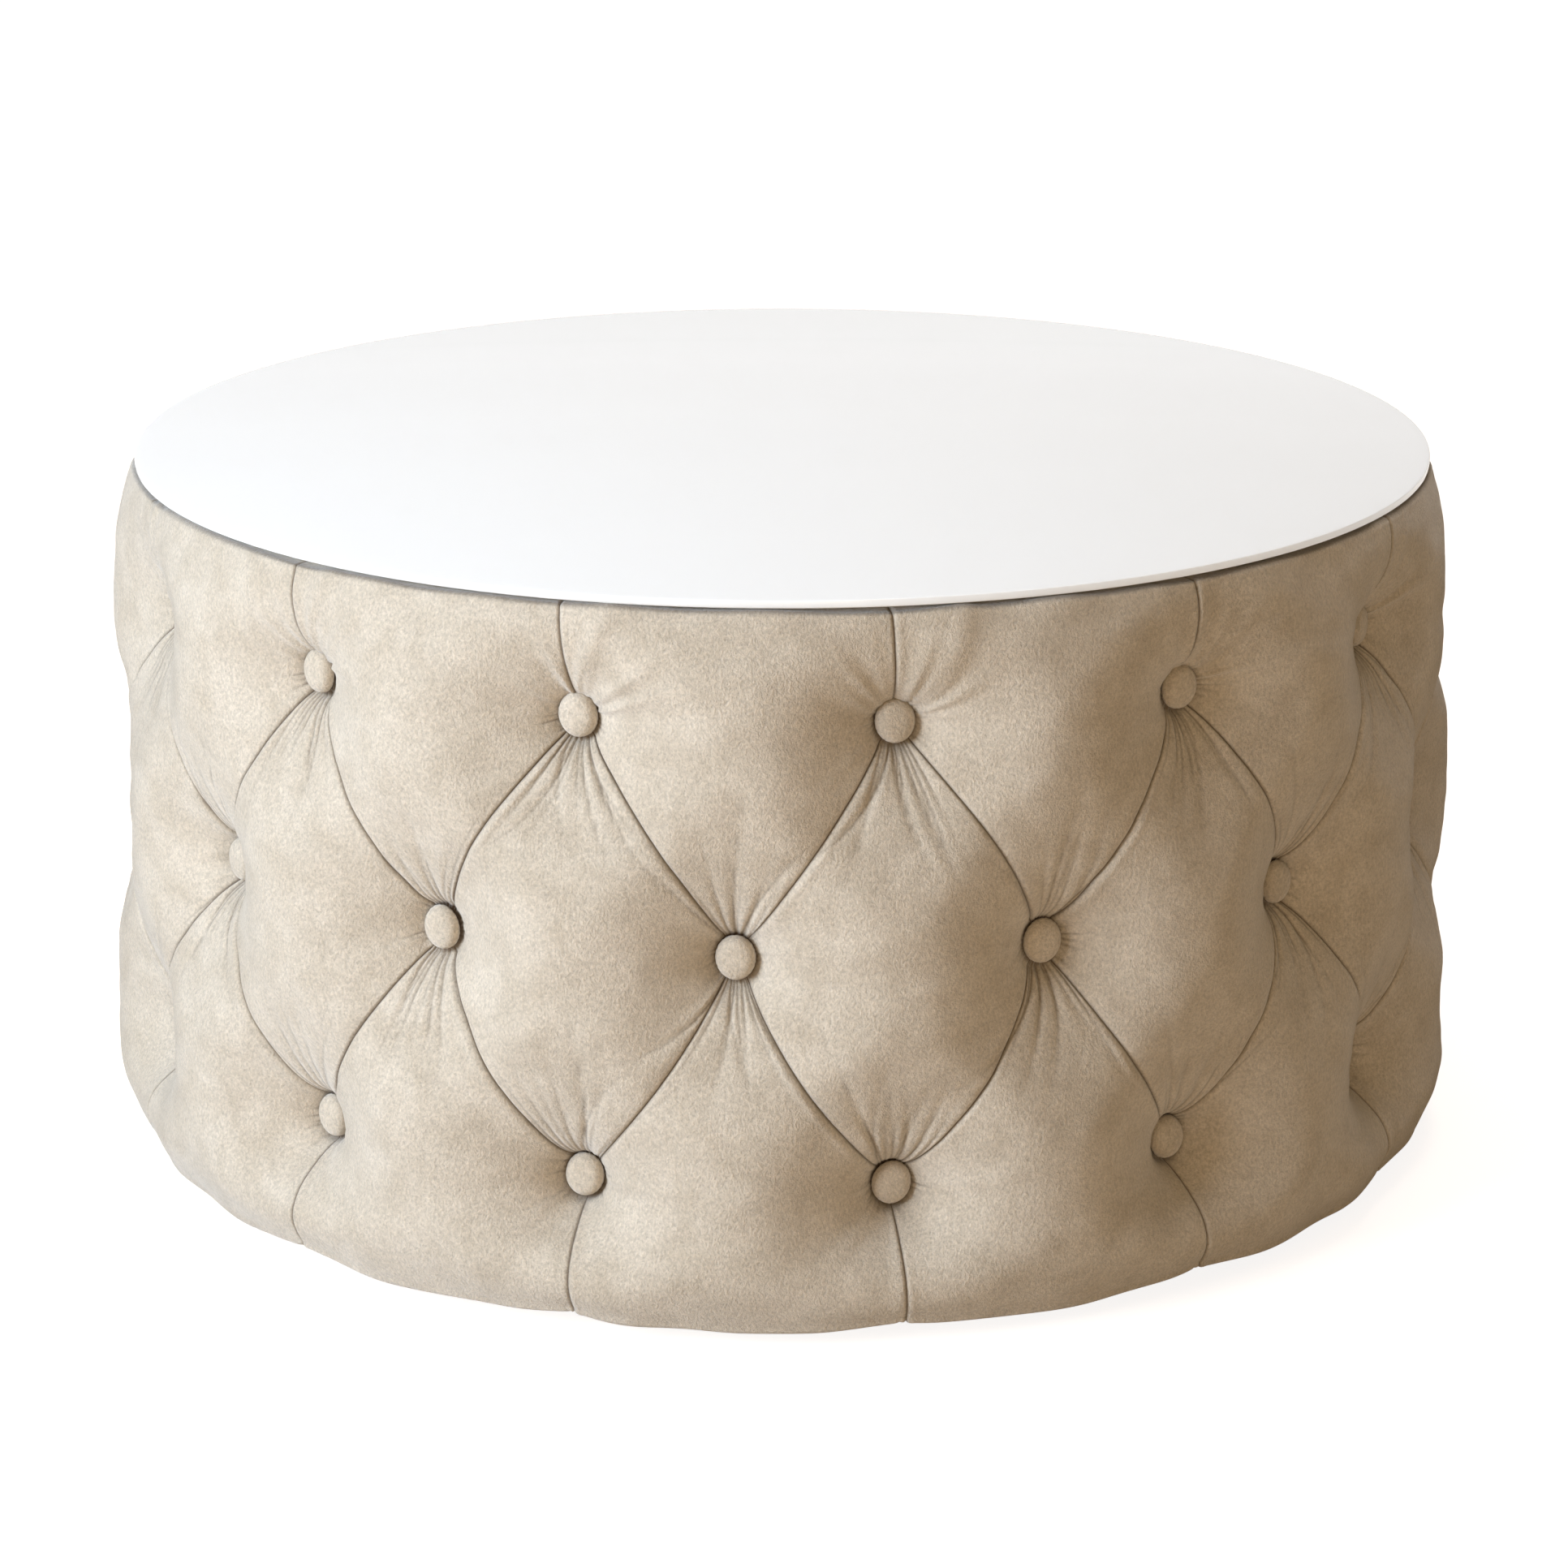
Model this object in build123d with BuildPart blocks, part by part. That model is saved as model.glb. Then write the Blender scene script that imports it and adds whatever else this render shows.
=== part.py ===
"""A round, diamond-tufted ottoman coffee table with a white glass top.

The table stands on the floor at Z = 0, with the origin under its centre and its front towards -Y.
Lengths are in millimetres and angles in degrees.
"""

from build123d import *
from math import cos, degrees, radians, sin, sqrt
import os

os.makedirs("parts", exist_ok=True)

# Gaps between pieces that lie against each other, and how far a cut runs past a face
clearance = 0.3
fit_clearance = 0.1
cut_overrun = 2

# Glass top, its white backing film and the clear pads under it
glass_diameter = 770
glass_thickness = 4
glass_arris = 0.6
backing_thickness = 0.4
backing_margin = 1.2
pad_count = 8
pad_diameter = 20
pad_thickness = 1
pad_edge_radius = 0.4
pad_circle_share = 0.78

# Feet
foot_count = 6
foot_height = 15
foot_diameter = 40
foot_sole_diameter = 34
foot_edge_radius = 1.5
foot_hem_gap = 9
foot_recess_diameter = 12
foot_recess_depth = 8

# Drum: its height, the velvet round it and the frame inside it
drum_height = 391.1
cover_thickness = 2
panel_radius = 359.5
panel_thickness = 3
panel_joint_gap = 1
board_thickness = 15
base_ring_width = 100
hem_width = 27
lining_thickness = 0.5
lining_lap = 17
post_count = 7
post_width = 38
post_depth = 28

# Tufting: the columns and rows of buttons, and how far they are drawn in
tuft_count = 14
first_column_angle = -80.93
row_spacing = 129
middle_row_height = 198.5
tuft_depth = 30.1
seat_foam = 6
seat_half_width = 10.5
seat_half_height = 12

# Covered buttons, the twine that ties them and the toggles behind the panel
button_width = 21
button_height = 23.5
button_thickness = 7
button_dome_radius = 17
button_skin = 0.8
button_back_gap = 0.3
shank_diameter = 3.2
shank_length = 3.2
twine_diameter = 1.6
knot_diameter = 4.4
toggle_diameter = 16
toggle_thickness = 2.5

# Fasteners
screw_diameter = 4.5
screw_head_diameter = 9
screw_length = 50
screw_tip_length = 6
recess_width = 1.2
recess_depth = 1.6
foot_screw_diameter = 4
foot_screw_head_diameter = 8
foot_screw_head_height = 2.5
foot_screw_length = 16
staple_count = 42
staple_crown = 10
staple_wire = 0.8
staple_leg = 7
nail_diameter = 1.6
nail_length = 18
nail_head_diameter = 3.2
nail_head_thickness = 0.25
joint_nail_offset = 8
joint_nail_levels = 4

# Heights that follow from the values above
drum_bottom = foot_height - cover_thickness
drum_top = drum_bottom + drum_height
board_top = drum_top - cover_thickness
board_bottom = board_top - board_thickness
ring_top = foot_height + board_thickness
lining_top = drum_top + lining_thickness
dust_cover_under = drum_bottom - lining_thickness
pad_top = lining_top + pad_thickness
glass_bottom = pad_top + backing_thickness
middle_row = drum_bottom + middle_row_height
upper_row = middle_row + row_spacing
lower_row = middle_row - row_spacing
screw_sink = (screw_head_diameter - screw_diameter) / 2
foot_screw_bottom = foot_recess_depth - foot_screw_head_height

# Radii that follow from the values above
glass_radius = glass_diameter / 2
panel_inner = panel_radius - panel_thickness
board_radius = panel_inner - fit_clearance
ring_inner = board_radius - base_ring_width
foam_inner = panel_radius + clearance
seat_radius = foam_inner + seat_foam + clearance + cover_thickness
crest_radius = seat_radius + tuft_depth
hem_inner = panel_radius - hem_width
lining_radius = hem_inner + lining_lap
staple_circle = (hem_inner + lining_radius) / 2
foot_circle = hem_inner - foot_hem_gap - foot_diameter / 2
post_face = sqrt(board_radius**2 - (post_width / 2) ** 2)
screw_circle = post_face - post_depth / 2
screw_hole_radius = screw_diameter / 2 + fit_clearance
foot_screw_hole_radius = foot_screw_diameter / 2 + fit_clearance
nail_hole_radius = nail_diameter / 2 + fit_clearance
tie_hole_radius = shank_diameter / 2 + clearance
twine_hole_radius = twine_diameter / 2 + clearance
button_back = seat_radius + button_back_gap
twine_start = button_back - shank_length
toggle_face = sqrt(panel_inner**2 - (toggle_diameter / 2) ** 2) - fit_clearance
knot_seat = sqrt((knot_diameter / 2) ** 2 - twine_hole_radius**2)
knot_centre = toggle_face - toggle_thickness - knot_seat - fit_clearance

# Angles that follow from the values above
tuft_step = 360 / tuft_count
seat_half_angle = degrees(seat_half_width / seat_radius)
post_step = 360 / post_count
first_post_angle = first_column_angle + tuft_step / 4
joint_angle = first_post_angle + post_step * (post_count // 2)
joint_nail_angle = degrees(joint_nail_offset / panel_radius)
staple_angle = first_post_angle + 180 / staple_count


def polar(radius, angle):
    """A point in a horizontal plane."""
    return (radius * cos(radians(angle)), radius * sin(radians(angle)))


def outward(radius, angle, height):
    """A plane at a point of the drum's wall that looks straight out, with its Y axis upwards."""
    return Plane(
        origin=(*polar(radius, angle), height),
        x_dir=(-sin(radians(angle)), cos(radians(angle)), 0),
        z_dir=(cos(radians(angle)), sin(radians(angle)), 0),
    )


def button_places(radius, rows=(lower_row, middle_row, upper_row)):
    """Outward locations at the buttons. The middle row sits half a step round from the others."""
    places = []
    for row in rows:
        start = first_column_angle + (tuft_step / 2 if row == middle_row else 0)
        places += [outward(radius, start + tuft_step * n, row).location for n in range(tuft_count)]
    return places


# Shape of the tufted wall. From a drum edge (0) to the nearest row of buttons (1), each line gives:
# the height share, the pleat's width share, and the depth shares of the pleat and the pillow.
lower_edge_shares = (
    (0.00, 0.16, 0.34, 0.25),
    (0.07, 0.16, 0.25, 0.12),
    (0.30, 0.22, 0.24, 0.02),
    (0.68, 0.52, 0.50, 0.00),
    (1.00, 1.00, 1.00, 0.02),
)
upper_edge_shares = (
    (0.00, 0.14, 0.44, 0.38),
    (0.08, 0.14, 0.32, 0.21),
    (0.34, 0.20, 0.26, 0.04),
    (0.70, 0.52, 0.52, 0.00),
    (1.00, 1.00, 1.00, 0.02),
)
# From one row of buttons (0) to the next (1): the height share and the depth shares of the pleat,
# of the pillow that opens out and of the pillow that closes.
band_shares = (
    (0.00, 1.00, 1.00, 0.02),
    (0.20, 0.52, 0.44, 0.03),
    (0.50, 0.23, 0.12, 0.12),
    (0.80, 0.52, 0.03, 0.44),
    (1.00, 1.00, 0.02, 1.00),
)


def between(low, high, share):
    return low + (high - low) * share


def tuft_outline(height, half_angle, depth_shares, inset):
    """A level section of the wall: an arc over each button column and one between two columns."""
    pleat, column, pillow = (crest_radius - inset - tuft_depth * share for share in depth_shares)
    with BuildSketch(Plane.XY.offset(height)) as section:
        with BuildLine():
            for count in range(tuft_count):
                middle = first_column_angle + count * tuft_step
                near_side = polar(pleat, middle + half_angle)
                far_side = polar(pleat, middle + tuft_step - half_angle)
                ThreePointArc(polar(pleat, middle - half_angle), polar(column, middle), near_side)
                ThreePointArc(near_side, polar(pillow, middle + tuft_step / 2), far_side)
        make_face()
    return section.sketch


def tuft_sections(inset):
    """The wall's sections from the bottom up, drawn in by inset from the outer face of the velvet."""
    widest = tuft_step / 2 - seat_half_angle
    sections = []
    for share, width, pleat, pillow in lower_edge_shares:
        z = between(drum_bottom + inset, lower_row - seat_half_height, share)
        sections.append(tuft_outline(z, seat_half_angle * width, (pleat, pleat, pillow), inset))
    for share, pleat, opening, closing in band_shares:
        z = between(lower_row + seat_half_height, middle_row - seat_half_height, share)
        half_angle = between(seat_half_angle, widest, share)
        sections.append(tuft_outline(z, half_angle, (pleat, opening, closing), inset))
    for share, pleat, opening, closing in band_shares:
        z = between(middle_row + seat_half_height, upper_row - seat_half_height, share)
        half_angle = between(widest, seat_half_angle, share)
        sections.append(tuft_outline(z, half_angle, (pleat, closing, opening), inset))
    for share, width, pleat, pillow in reversed(upper_edge_shares):
        z = between(drum_top - inset, upper_row + seat_half_height, share)
        sections.append(tuft_outline(z, seat_half_angle * width, (pleat, pleat, pillow), inset))
    return sections


def staple_holes(height):
    """Outlines of the holes for the staples' legs."""
    with BuildSketch(Plane.XY.offset(height)) as holes:
        with PolarLocations(staple_circle, staple_count, start_angle=staple_angle):
            with GridLocations(0, staple_crown - staple_wire, 1, 2):
                Rectangle(staple_wire + 2 * fit_clearance, staple_wire + 2 * fit_clearance)
    return holes.sketch


velvet_face = tuft_sections(0)
velvet_back = tuft_sections(cover_thickness)
foam_face = tuft_sections(cover_thickness + clearance)

# Places that several pieces share
post_places = [outward(post_face, first_post_angle + post_step * n, ring_top) for n in range(post_count)]
screw_points = [polar(screw_circle, first_post_angle + post_step * n) for n in range(post_count)]
foot_points = [polar(foot_circle, first_column_angle + 360 / foot_count * n) for n in range(foot_count)]
edge_nails = [
    outward(panel_radius, first_column_angle + tuft_step * (n + 3 / 4), z).location
    for z in (ring_top - board_thickness / 2, board_top - board_thickness / 2)
    for n in range(tuft_count)
]
joint_nail_rise = (board_bottom - ring_top) / joint_nail_levels
joint_nails = [
    outward(panel_radius, joint_angle + side * joint_nail_angle, z).location
    for z in [ring_top + joint_nail_rise * (n + 1 / 2) for n in range(joint_nail_levels)]
    for side in (-1, 1)
]

# Glass top
with BuildPart() as glass_top:
    with BuildSketch(Plane.XY.offset(glass_bottom)):
        Circle(glass_radius)
    extrude(amount=glass_thickness)
    chamfer(glass_top.edges().filter_by(GeomType.CIRCLE), glass_arris)
glass_top.part.label = "glass_top"
export_step(glass_top.part, "parts/glass_top.step")

# White film that backs the glass
with BuildPart() as white_backing:
    with BuildSketch(Plane.XY.offset(pad_top)):
        Circle(glass_radius - backing_margin)
    extrude(amount=backing_thickness)
white_backing.part.label = "white_backing"
export_step(white_backing.part, "parts/white_backing.step")

# Clear pads between the glass and the lining
with BuildPart() as glass_pads:
    with BuildSketch(Plane.XY.offset(lining_top)):
        with PolarLocations(glass_radius * pad_circle_share, pad_count):
            Circle(pad_diameter / 2)
    extrude(amount=pad_thickness)
    fillet(glass_pads.faces().filter_by(Axis.Z).sort_by(Axis.Z)[:pad_count].edges(), pad_edge_radius)
glass_pads.part.label = "glass_pads"
export_step(glass_pads.part, "parts/glass_pads.step")

# Velvet round the wall, turned in over the top board and hemmed under the base ring
with BuildPart() as wall_cover:
    loft(velvet_face, ruled=True)
    loft(velvet_back, ruled=True, mode=Mode.SUBTRACT)
    with BuildSketch(Plane.XY.offset(drum_bottom - cut_overrun)):
        Circle(hem_inner)
    extrude(amount=drum_height + 2 * cut_overrun, mode=Mode.SUBTRACT)
    extrude(staple_holes(drum_bottom - cut_overrun), drum_height + 2 * cut_overrun, mode=Mode.SUBTRACT)
    with Locations(*button_places(seat_radius)):
        Cylinder(tie_hole_radius, 2 * (cover_thickness + clearance), mode=Mode.SUBTRACT)
wall_cover.part.label = "wall_cover"
export_step(wall_cover.part, "parts/wall_cover.step")

# Foam under the velvet, glued round the panel
with BuildPart() as wall_foam:
    loft(foam_face, ruled=True)
    with BuildSketch(Plane.XY.offset(drum_bottom)):
        Circle(foam_inner)
    extrude(amount=drum_height, mode=Mode.SUBTRACT)
    with Locations(*button_places(foam_inner)):
        Cylinder(tie_hole_radius, 2 * (seat_foam + cut_overrun), mode=Mode.SUBTRACT)
wall_foam.part.label = "wall_foam"
export_step(wall_foam.part, "parts/wall_foam.step")

# Felt that fills the mouth of the velvet, and the lining over both
with BuildPart() as top_felt:
    with BuildSketch(Plane.XY.offset(board_top)):
        Circle(hem_inner - clearance)
    extrude(amount=cover_thickness)
top_felt.part.label = "top_felt"
export_step(top_felt.part, "parts/top_felt.step")

with BuildPart() as top_lining:
    with BuildSketch(Plane.XY.offset(drum_top)):
        Circle(lining_radius)
    extrude(amount=lining_thickness)
    extrude(staple_holes(drum_top), lining_thickness, mode=Mode.SUBTRACT)
top_lining.part.label = "top_lining"
export_step(top_lining.part, "parts/top_lining.step")

# Dust cover under the base, cut round the feet
with BuildPart() as dust_cover:
    with BuildSketch(Plane.XY.offset(dust_cover_under)):
        Circle(lining_radius)
        with Locations(*foot_points):
            Circle(foot_diameter / 2 + clearance, mode=Mode.SUBTRACT)
    extrude(amount=lining_thickness)
    extrude(staple_holes(dust_cover_under), lining_thickness, mode=Mode.SUBTRACT)
dust_cover.part.label = "dust_cover"
export_step(dust_cover.part, "parts/dust_cover.step")

# Bent hardboard wall, butt jointed on the rear post, with a hole for each button's twine
with BuildPart() as wall_panel:
    with BuildSketch(Plane.XY.offset(foot_height)):
        Circle(panel_radius)
        Circle(panel_inner, mode=Mode.SUBTRACT)
    extrude(amount=board_top - foot_height)
    with Locations(*button_places(panel_radius)):
        Cylinder(twine_hole_radius, 2 * (panel_thickness + cut_overrun), mode=Mode.SUBTRACT)
    with Locations(*edge_nails, *joint_nails):
        Cylinder(nail_hole_radius, 2 * (panel_thickness + cut_overrun), mode=Mode.SUBTRACT)
    with Locations(outward(panel_radius, joint_angle, middle_row).location):
        Box(panel_joint_gap, 2 * drum_height, 2 * (panel_thickness + cut_overrun), mode=Mode.SUBTRACT)
wall_panel.part.label = "wall_panel"
export_step(wall_panel.part, "parts/wall_panel.step")

# Frame: a top board and a base ring, held apart by posts
with BuildPart() as top_board:
    with BuildSketch(Plane.XY.offset(board_bottom)):
        Circle(board_radius)
        with Locations(*screw_points):
            Circle(screw_hole_radius, mode=Mode.SUBTRACT)
    extrude(amount=board_thickness)
    with Locations(*[(*point, board_top - screw_sink / 2) for point in screw_points]):
        Cone(screw_hole_radius, screw_hole_radius + screw_sink, screw_sink, mode=Mode.SUBTRACT)
    with Locations(*edge_nails[tuft_count:]):
        Cylinder(nail_hole_radius, 2 * (nail_length + clearance), mode=Mode.SUBTRACT)
    extrude(staple_holes(board_top), -staple_leg - clearance, mode=Mode.SUBTRACT)
top_board.part.label = "top_board"
export_step(top_board.part, "parts/top_board.step")

with BuildPart() as base_ring:
    with BuildSketch(Plane.XY.offset(foot_height)):
        Circle(board_radius)
        Circle(ring_inner, mode=Mode.SUBTRACT)
        with Locations(*screw_points):
            Circle(screw_hole_radius, mode=Mode.SUBTRACT)
        with Locations(*foot_points):
            Circle(foot_screw_hole_radius, mode=Mode.SUBTRACT)
    extrude(amount=board_thickness)
    with Locations(*[(*point, foot_height + screw_sink / 2) for point in screw_points]):
        Cone(screw_hole_radius + screw_sink, screw_hole_radius, screw_sink, mode=Mode.SUBTRACT)
    with Locations(*edge_nails[:tuft_count]):
        Cylinder(nail_hole_radius, 2 * (nail_length + clearance), mode=Mode.SUBTRACT)
    extrude(staple_holes(foot_height), staple_leg + clearance, mode=Mode.SUBTRACT)
base_ring.part.label = "base_ring"
export_step(base_ring.part, "parts/base_ring.step")

with BuildPart() as posts:
    for place in post_places:
        with BuildSketch(Plane(place.origin, x_dir=place.x_dir, z_dir=(0, 0, 1))):
            Rectangle(post_width, post_depth, align=(Align.CENTER, Align.MIN))
    extrude(amount=board_bottom - ring_top)
    screw_reach = screw_length - board_thickness + clearance
    for end, reach in ((ring_top, screw_reach), (board_bottom, -screw_reach)):
        with BuildSketch(Plane.XY.offset(end)):
            with Locations(*screw_points):
                Circle(screw_hole_radius)
        extrude(amount=reach, mode=Mode.SUBTRACT)
    with Locations(*joint_nails):
        Cylinder(nail_hole_radius, 2 * (nail_length + clearance), mode=Mode.SUBTRACT)
posts.part.label = "posts"
export_step(posts.part, "parts/posts.step")

# Countersunk wood screws with a cross recess, through the board and the ring into the posts
with BuildPart() as screw:
    with BuildSketch(Plane.XZ):
        with BuildLine():
            Polyline(
                (0, 0),
                (screw_head_diameter / 2, 0),
                (screw_diameter / 2, -screw_sink),
                (screw_diameter / 2, screw_tip_length - screw_length),
                (0, -screw_length),
                close=True,
            )
        make_face()
    revolve(axis=Axis.Z)
    Box(screw_diameter, recess_width, 2 * recess_depth, mode=Mode.SUBTRACT)
    Box(recess_width, screw_diameter, 2 * recess_depth, mode=Mode.SUBTRACT)

with BuildPart() as frame_screws:
    with Locations(*[(*point, board_top) for point in screw_points]):
        add(screw.part)
    with Locations(*[Location((*point, foot_height), (180, 0, 0)) for point in screw_points]):
        add(screw.part)
frame_screws.part.label = "frame_screws"
export_step(frame_screws.part, "parts/frame_screws.step")

# Plastic feet, each with a pan-head screw up into the base ring
with BuildPart() as foot:
    Cone(
        foot_sole_diameter / 2,
        foot_diameter / 2,
        foot_height,
        align=(Align.CENTER, Align.CENTER, Align.MIN),
    )
    fillet(foot.edges().sort_by(Axis.Z)[0], foot_edge_radius)
    Cylinder(foot_screw_hole_radius, 2 * foot_height, mode=Mode.SUBTRACT)
    Cylinder(foot_recess_diameter / 2, 2 * foot_recess_depth, mode=Mode.SUBTRACT)

with BuildPart() as feet:
    with Locations(*foot_points):
        add(foot.part)
feet.part.label = "feet"
export_step(feet.part, "parts/feet.step")

with BuildPart() as foot_screw:
    with BuildSketch(Plane.XY.offset(foot_screw_bottom)):
        Circle(foot_screw_head_diameter / 2)
    extrude(amount=foot_screw_head_height)
    with BuildSketch(Plane.XY.offset(foot_recess_depth)):
        Circle(foot_screw_diameter / 2)
    extrude(amount=foot_screw_length)
    with Locations((0, 0, foot_screw_bottom)):
        Box(foot_screw_diameter, recess_width, 2 * recess_depth, mode=Mode.SUBTRACT)
        Box(recess_width, foot_screw_diameter, 2 * recess_depth, mode=Mode.SUBTRACT)

with BuildPart() as foot_screws:
    with Locations(*foot_points):
        add(foot_screw.part)
foot_screws.part.label = "foot_screws"
export_step(foot_screws.part, "parts/foot_screws.step")

# Staples through the lining or dust cover and the velvet, into the wood
with BuildPart() as staple:
    with BuildSketch(Plane.XY):
        Rectangle(staple_wire, staple_crown)
    extrude(amount=staple_wire)
    with BuildSketch(Plane.XY):
        with GridLocations(0, staple_crown - staple_wire, 1, 2):
            Rectangle(staple_wire, staple_wire)
    extrude(amount=-lining_thickness - cover_thickness - staple_leg)

with BuildPart() as staples:
    for height, turn in ((lining_top, 0), (dust_cover_under, 180)):
        with Locations((0, 0, height)):
            with PolarLocations(staple_circle, staple_count, start_angle=staple_angle):
                add(staple.part, rotation=(0, turn, 0))
staples.part.label = "staples"
export_step(staples.part, "parts/staples.step")

# Nails through the panel into the board, the ring and the rear post
with BuildPart() as nail:
    with BuildSketch(Plane.XY):
        Circle(nail_head_diameter / 2)
    extrude(amount=nail_head_thickness)
    with BuildSketch(Plane.XY):
        Circle(nail_diameter / 2)
    extrude(amount=-nail_length)

with BuildPart() as panel_nails:
    with Locations(*edge_nails, *joint_nails):
        add(nail.part)
panel_nails.part.label = "panel_nails"
export_step(panel_nails.part, "parts/panel_nails.step")


def button_shape(skin):
    """An oval disc with a domed face, smaller by skin round its edge and face."""
    with BuildPart() as shape:
        with BuildSketch(Plane.XY):
            Ellipse(button_width / 2 - skin, button_height / 2 - skin)
        extrude(amount=button_thickness)
        with Locations((0, 0, button_thickness - button_dome_radius)):
            Sphere(button_dome_radius - skin, mode=Mode.INTERSECT)
    return shape.part


# Covered buttons: a metal core with a shank, and a velvet skin over its face and edge
core_shape = button_shape(button_skin)
skin_shape = button_shape(0) - core_shape

with BuildPart() as lower_buttons:
    with Locations(*button_places(button_back, (lower_row,))):
        add(skin_shape)
lower_buttons.part.label = "lower_buttons"
export_step(lower_buttons.part, "parts/lower_buttons.step")

with BuildPart() as middle_buttons:
    with Locations(*button_places(button_back, (middle_row,))):
        add(skin_shape)
middle_buttons.part.label = "middle_buttons"
export_step(middle_buttons.part, "parts/middle_buttons.step")

with BuildPart() as upper_buttons:
    with Locations(*button_places(button_back, (upper_row,))):
        add(skin_shape)
upper_buttons.part.label = "upper_buttons"
export_step(upper_buttons.part, "parts/upper_buttons.step")

with BuildPart() as button_cores:
    with Locations(*button_places(button_back)):
        add(core_shape)
button_cores.part.label = "button_cores"
export_step(button_cores.part, "parts/button_cores.step")

with BuildPart() as shank:
    with BuildSketch(Plane.XY):
        Circle(shank_diameter / 2)
    extrude(amount=-shank_length)

with BuildPart() as button_shanks:
    with Locations(*button_places(button_back)):
        add(shank.part)
button_shanks.part.label = "button_shanks"
export_step(button_shanks.part, "parts/button_shanks.step")

# Waxed twine from each shank through the panel, knotted behind a toggle
with BuildPart() as twine:
    with BuildSketch(Plane.XY):
        Circle(twine_diameter / 2)
    extrude(amount=knot_centre - twine_start)
    with Locations((0, 0, knot_centre - twine_start)):
        Sphere(knot_diameter / 2)

with BuildPart() as button_twines:
    with Locations(*button_places(twine_start)):
        add(twine.part)
button_twines.part.label = "button_twines"
export_step(button_twines.part, "parts/button_twines.step")

with BuildPart() as toggle:
    with BuildSketch(Plane.XY):
        Circle(toggle_diameter / 2)
        Circle(twine_hole_radius, mode=Mode.SUBTRACT)
    extrude(amount=-toggle_thickness)

with BuildPart() as twine_toggles:
    with Locations(*button_places(toggle_face)):
        add(toggle.part)
twine_toggles.part.label = "twine_toggles"
export_step(twine_toggles.part, "parts/twine_toggles.step")
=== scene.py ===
from math import cos, pi, radians, sin, sqrt

import bmesh
import bpy
import numpy as np
from mathutils import Euler, Matrix, Vector
from mathutils.geometry import delaunay_2d_cdt


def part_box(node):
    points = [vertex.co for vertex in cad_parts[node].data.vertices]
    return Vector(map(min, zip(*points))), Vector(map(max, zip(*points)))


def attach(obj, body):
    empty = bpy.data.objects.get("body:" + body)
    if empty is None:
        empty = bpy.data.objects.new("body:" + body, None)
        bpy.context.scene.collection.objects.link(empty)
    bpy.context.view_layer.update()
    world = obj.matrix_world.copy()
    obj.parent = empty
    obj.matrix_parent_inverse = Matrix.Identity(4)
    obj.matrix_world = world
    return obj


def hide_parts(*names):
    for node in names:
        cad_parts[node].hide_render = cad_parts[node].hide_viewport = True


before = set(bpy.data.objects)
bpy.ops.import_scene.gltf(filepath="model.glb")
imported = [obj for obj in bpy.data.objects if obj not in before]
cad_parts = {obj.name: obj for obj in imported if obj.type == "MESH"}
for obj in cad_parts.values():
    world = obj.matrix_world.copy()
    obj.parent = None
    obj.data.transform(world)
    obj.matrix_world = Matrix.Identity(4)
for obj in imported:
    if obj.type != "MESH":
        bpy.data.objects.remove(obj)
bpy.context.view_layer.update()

# Feet: six squat round glides moulded in black plastic under the base ring, each held by a zinc-plated
# screw that goes up through it from a recess in its sole.


def add(tree, kind, inputs=(), **options):
    """Adds a shader node, sets its options, and sets or links each of its inputs."""
    made = tree.nodes.new(kind)
    for option, value in options.items():
        setattr(made, option, value)
    for socket, value in dict(inputs).items():
        if isinstance(value, bpy.types.NodeSocket):
            tree.links.new(value, made.inputs[socket])
        else:
            made.inputs[socket].default_value = value
    return made


def new_group(name, inputs, outputs):
    """An empty shader node group with named inputs and outputs, all of them plain numbers."""
    group = bpy.data.node_groups.new(name, "ShaderNodeTree")
    for side, sockets in (("INPUT", inputs), ("OUTPUT", outputs)):
        for socket in sockets:
            group.interface.new_socket(socket, in_out=side, socket_type="NodeSocketFloat")
    return group


def calculate(tree, operation, first, second):
    """The result of one sum, on two sockets or numbers."""
    return add(tree, "ShaderNodeMath", {0: first, 1: second}, operation=operation).outputs["Value"]


def noise(tree, size, vector, detail=3, roughness=0.6, distortion=0):
    """A noise texture whose blotches are about as wide as the size socket says."""
    inputs = {"Vector": vector, "Scale": calculate(tree, "DIVIDE", 1, size), "Detail": detail}
    inputs.update({"Roughness": roughness, "Distortion": distortion})
    return add(tree, "ShaderNodeTexNoise", inputs).outputs["Fac"]


def spread(tree, value, low, high, to_low=0, to_high=1):
    """Stretches the range from low to high over the range from to_low to to_high."""
    inputs = {"Value": value, "From Min": low, "From Max": high, "To Min": to_low, "To Max": to_high}
    return add(tree, "ShaderNodeMapRange", inputs).outputs["Result"]


def build_mottle():
    """Node group: blotches of one size and a finer relief, for moulded, plated and rolled surfaces."""
    group = new_group("mottle", ["Size"], ["Mask", "Height"])
    size = add(group, "NodeGroupInput").outputs["Size"]
    place = add(group, "ShaderNodeTexCoord").outputs["Object"]
    fine_size = calculate(group, "MULTIPLY", size, 0.2)
    mask = spread(group, noise(group, size, place, 4), 0.35, 0.65)
    add(group, "NodeGroupOutput", {"Mask": mask, "Height": noise(group, fine_size, place, 2)})
    return group


mottle = build_mottle()


def new_material(name):
    """A new material, its node tree and its shader."""
    material = bpy.data.materials.new(name)
    material.use_nodes = True
    return material, material.node_tree, material.node_tree.nodes["Principled BSDF"]


def connect(tree, shader, colour, roughness, height, relief):
    """Feeds the shader's colour and roughness, and its normal through a bump of the given relief."""
    tree.links.new(colour, shader.inputs["Base Color"])
    if roughness is not None:
        tree.links.new(roughness, shader.inputs["Roughness"])
    bump = add(tree, "ShaderNodeBump", {"Height": height, "Distance": relief, "Strength": 0.6})
    tree.links.new(bump.outputs["Normal"], shader.inputs["Normal"])


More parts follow.
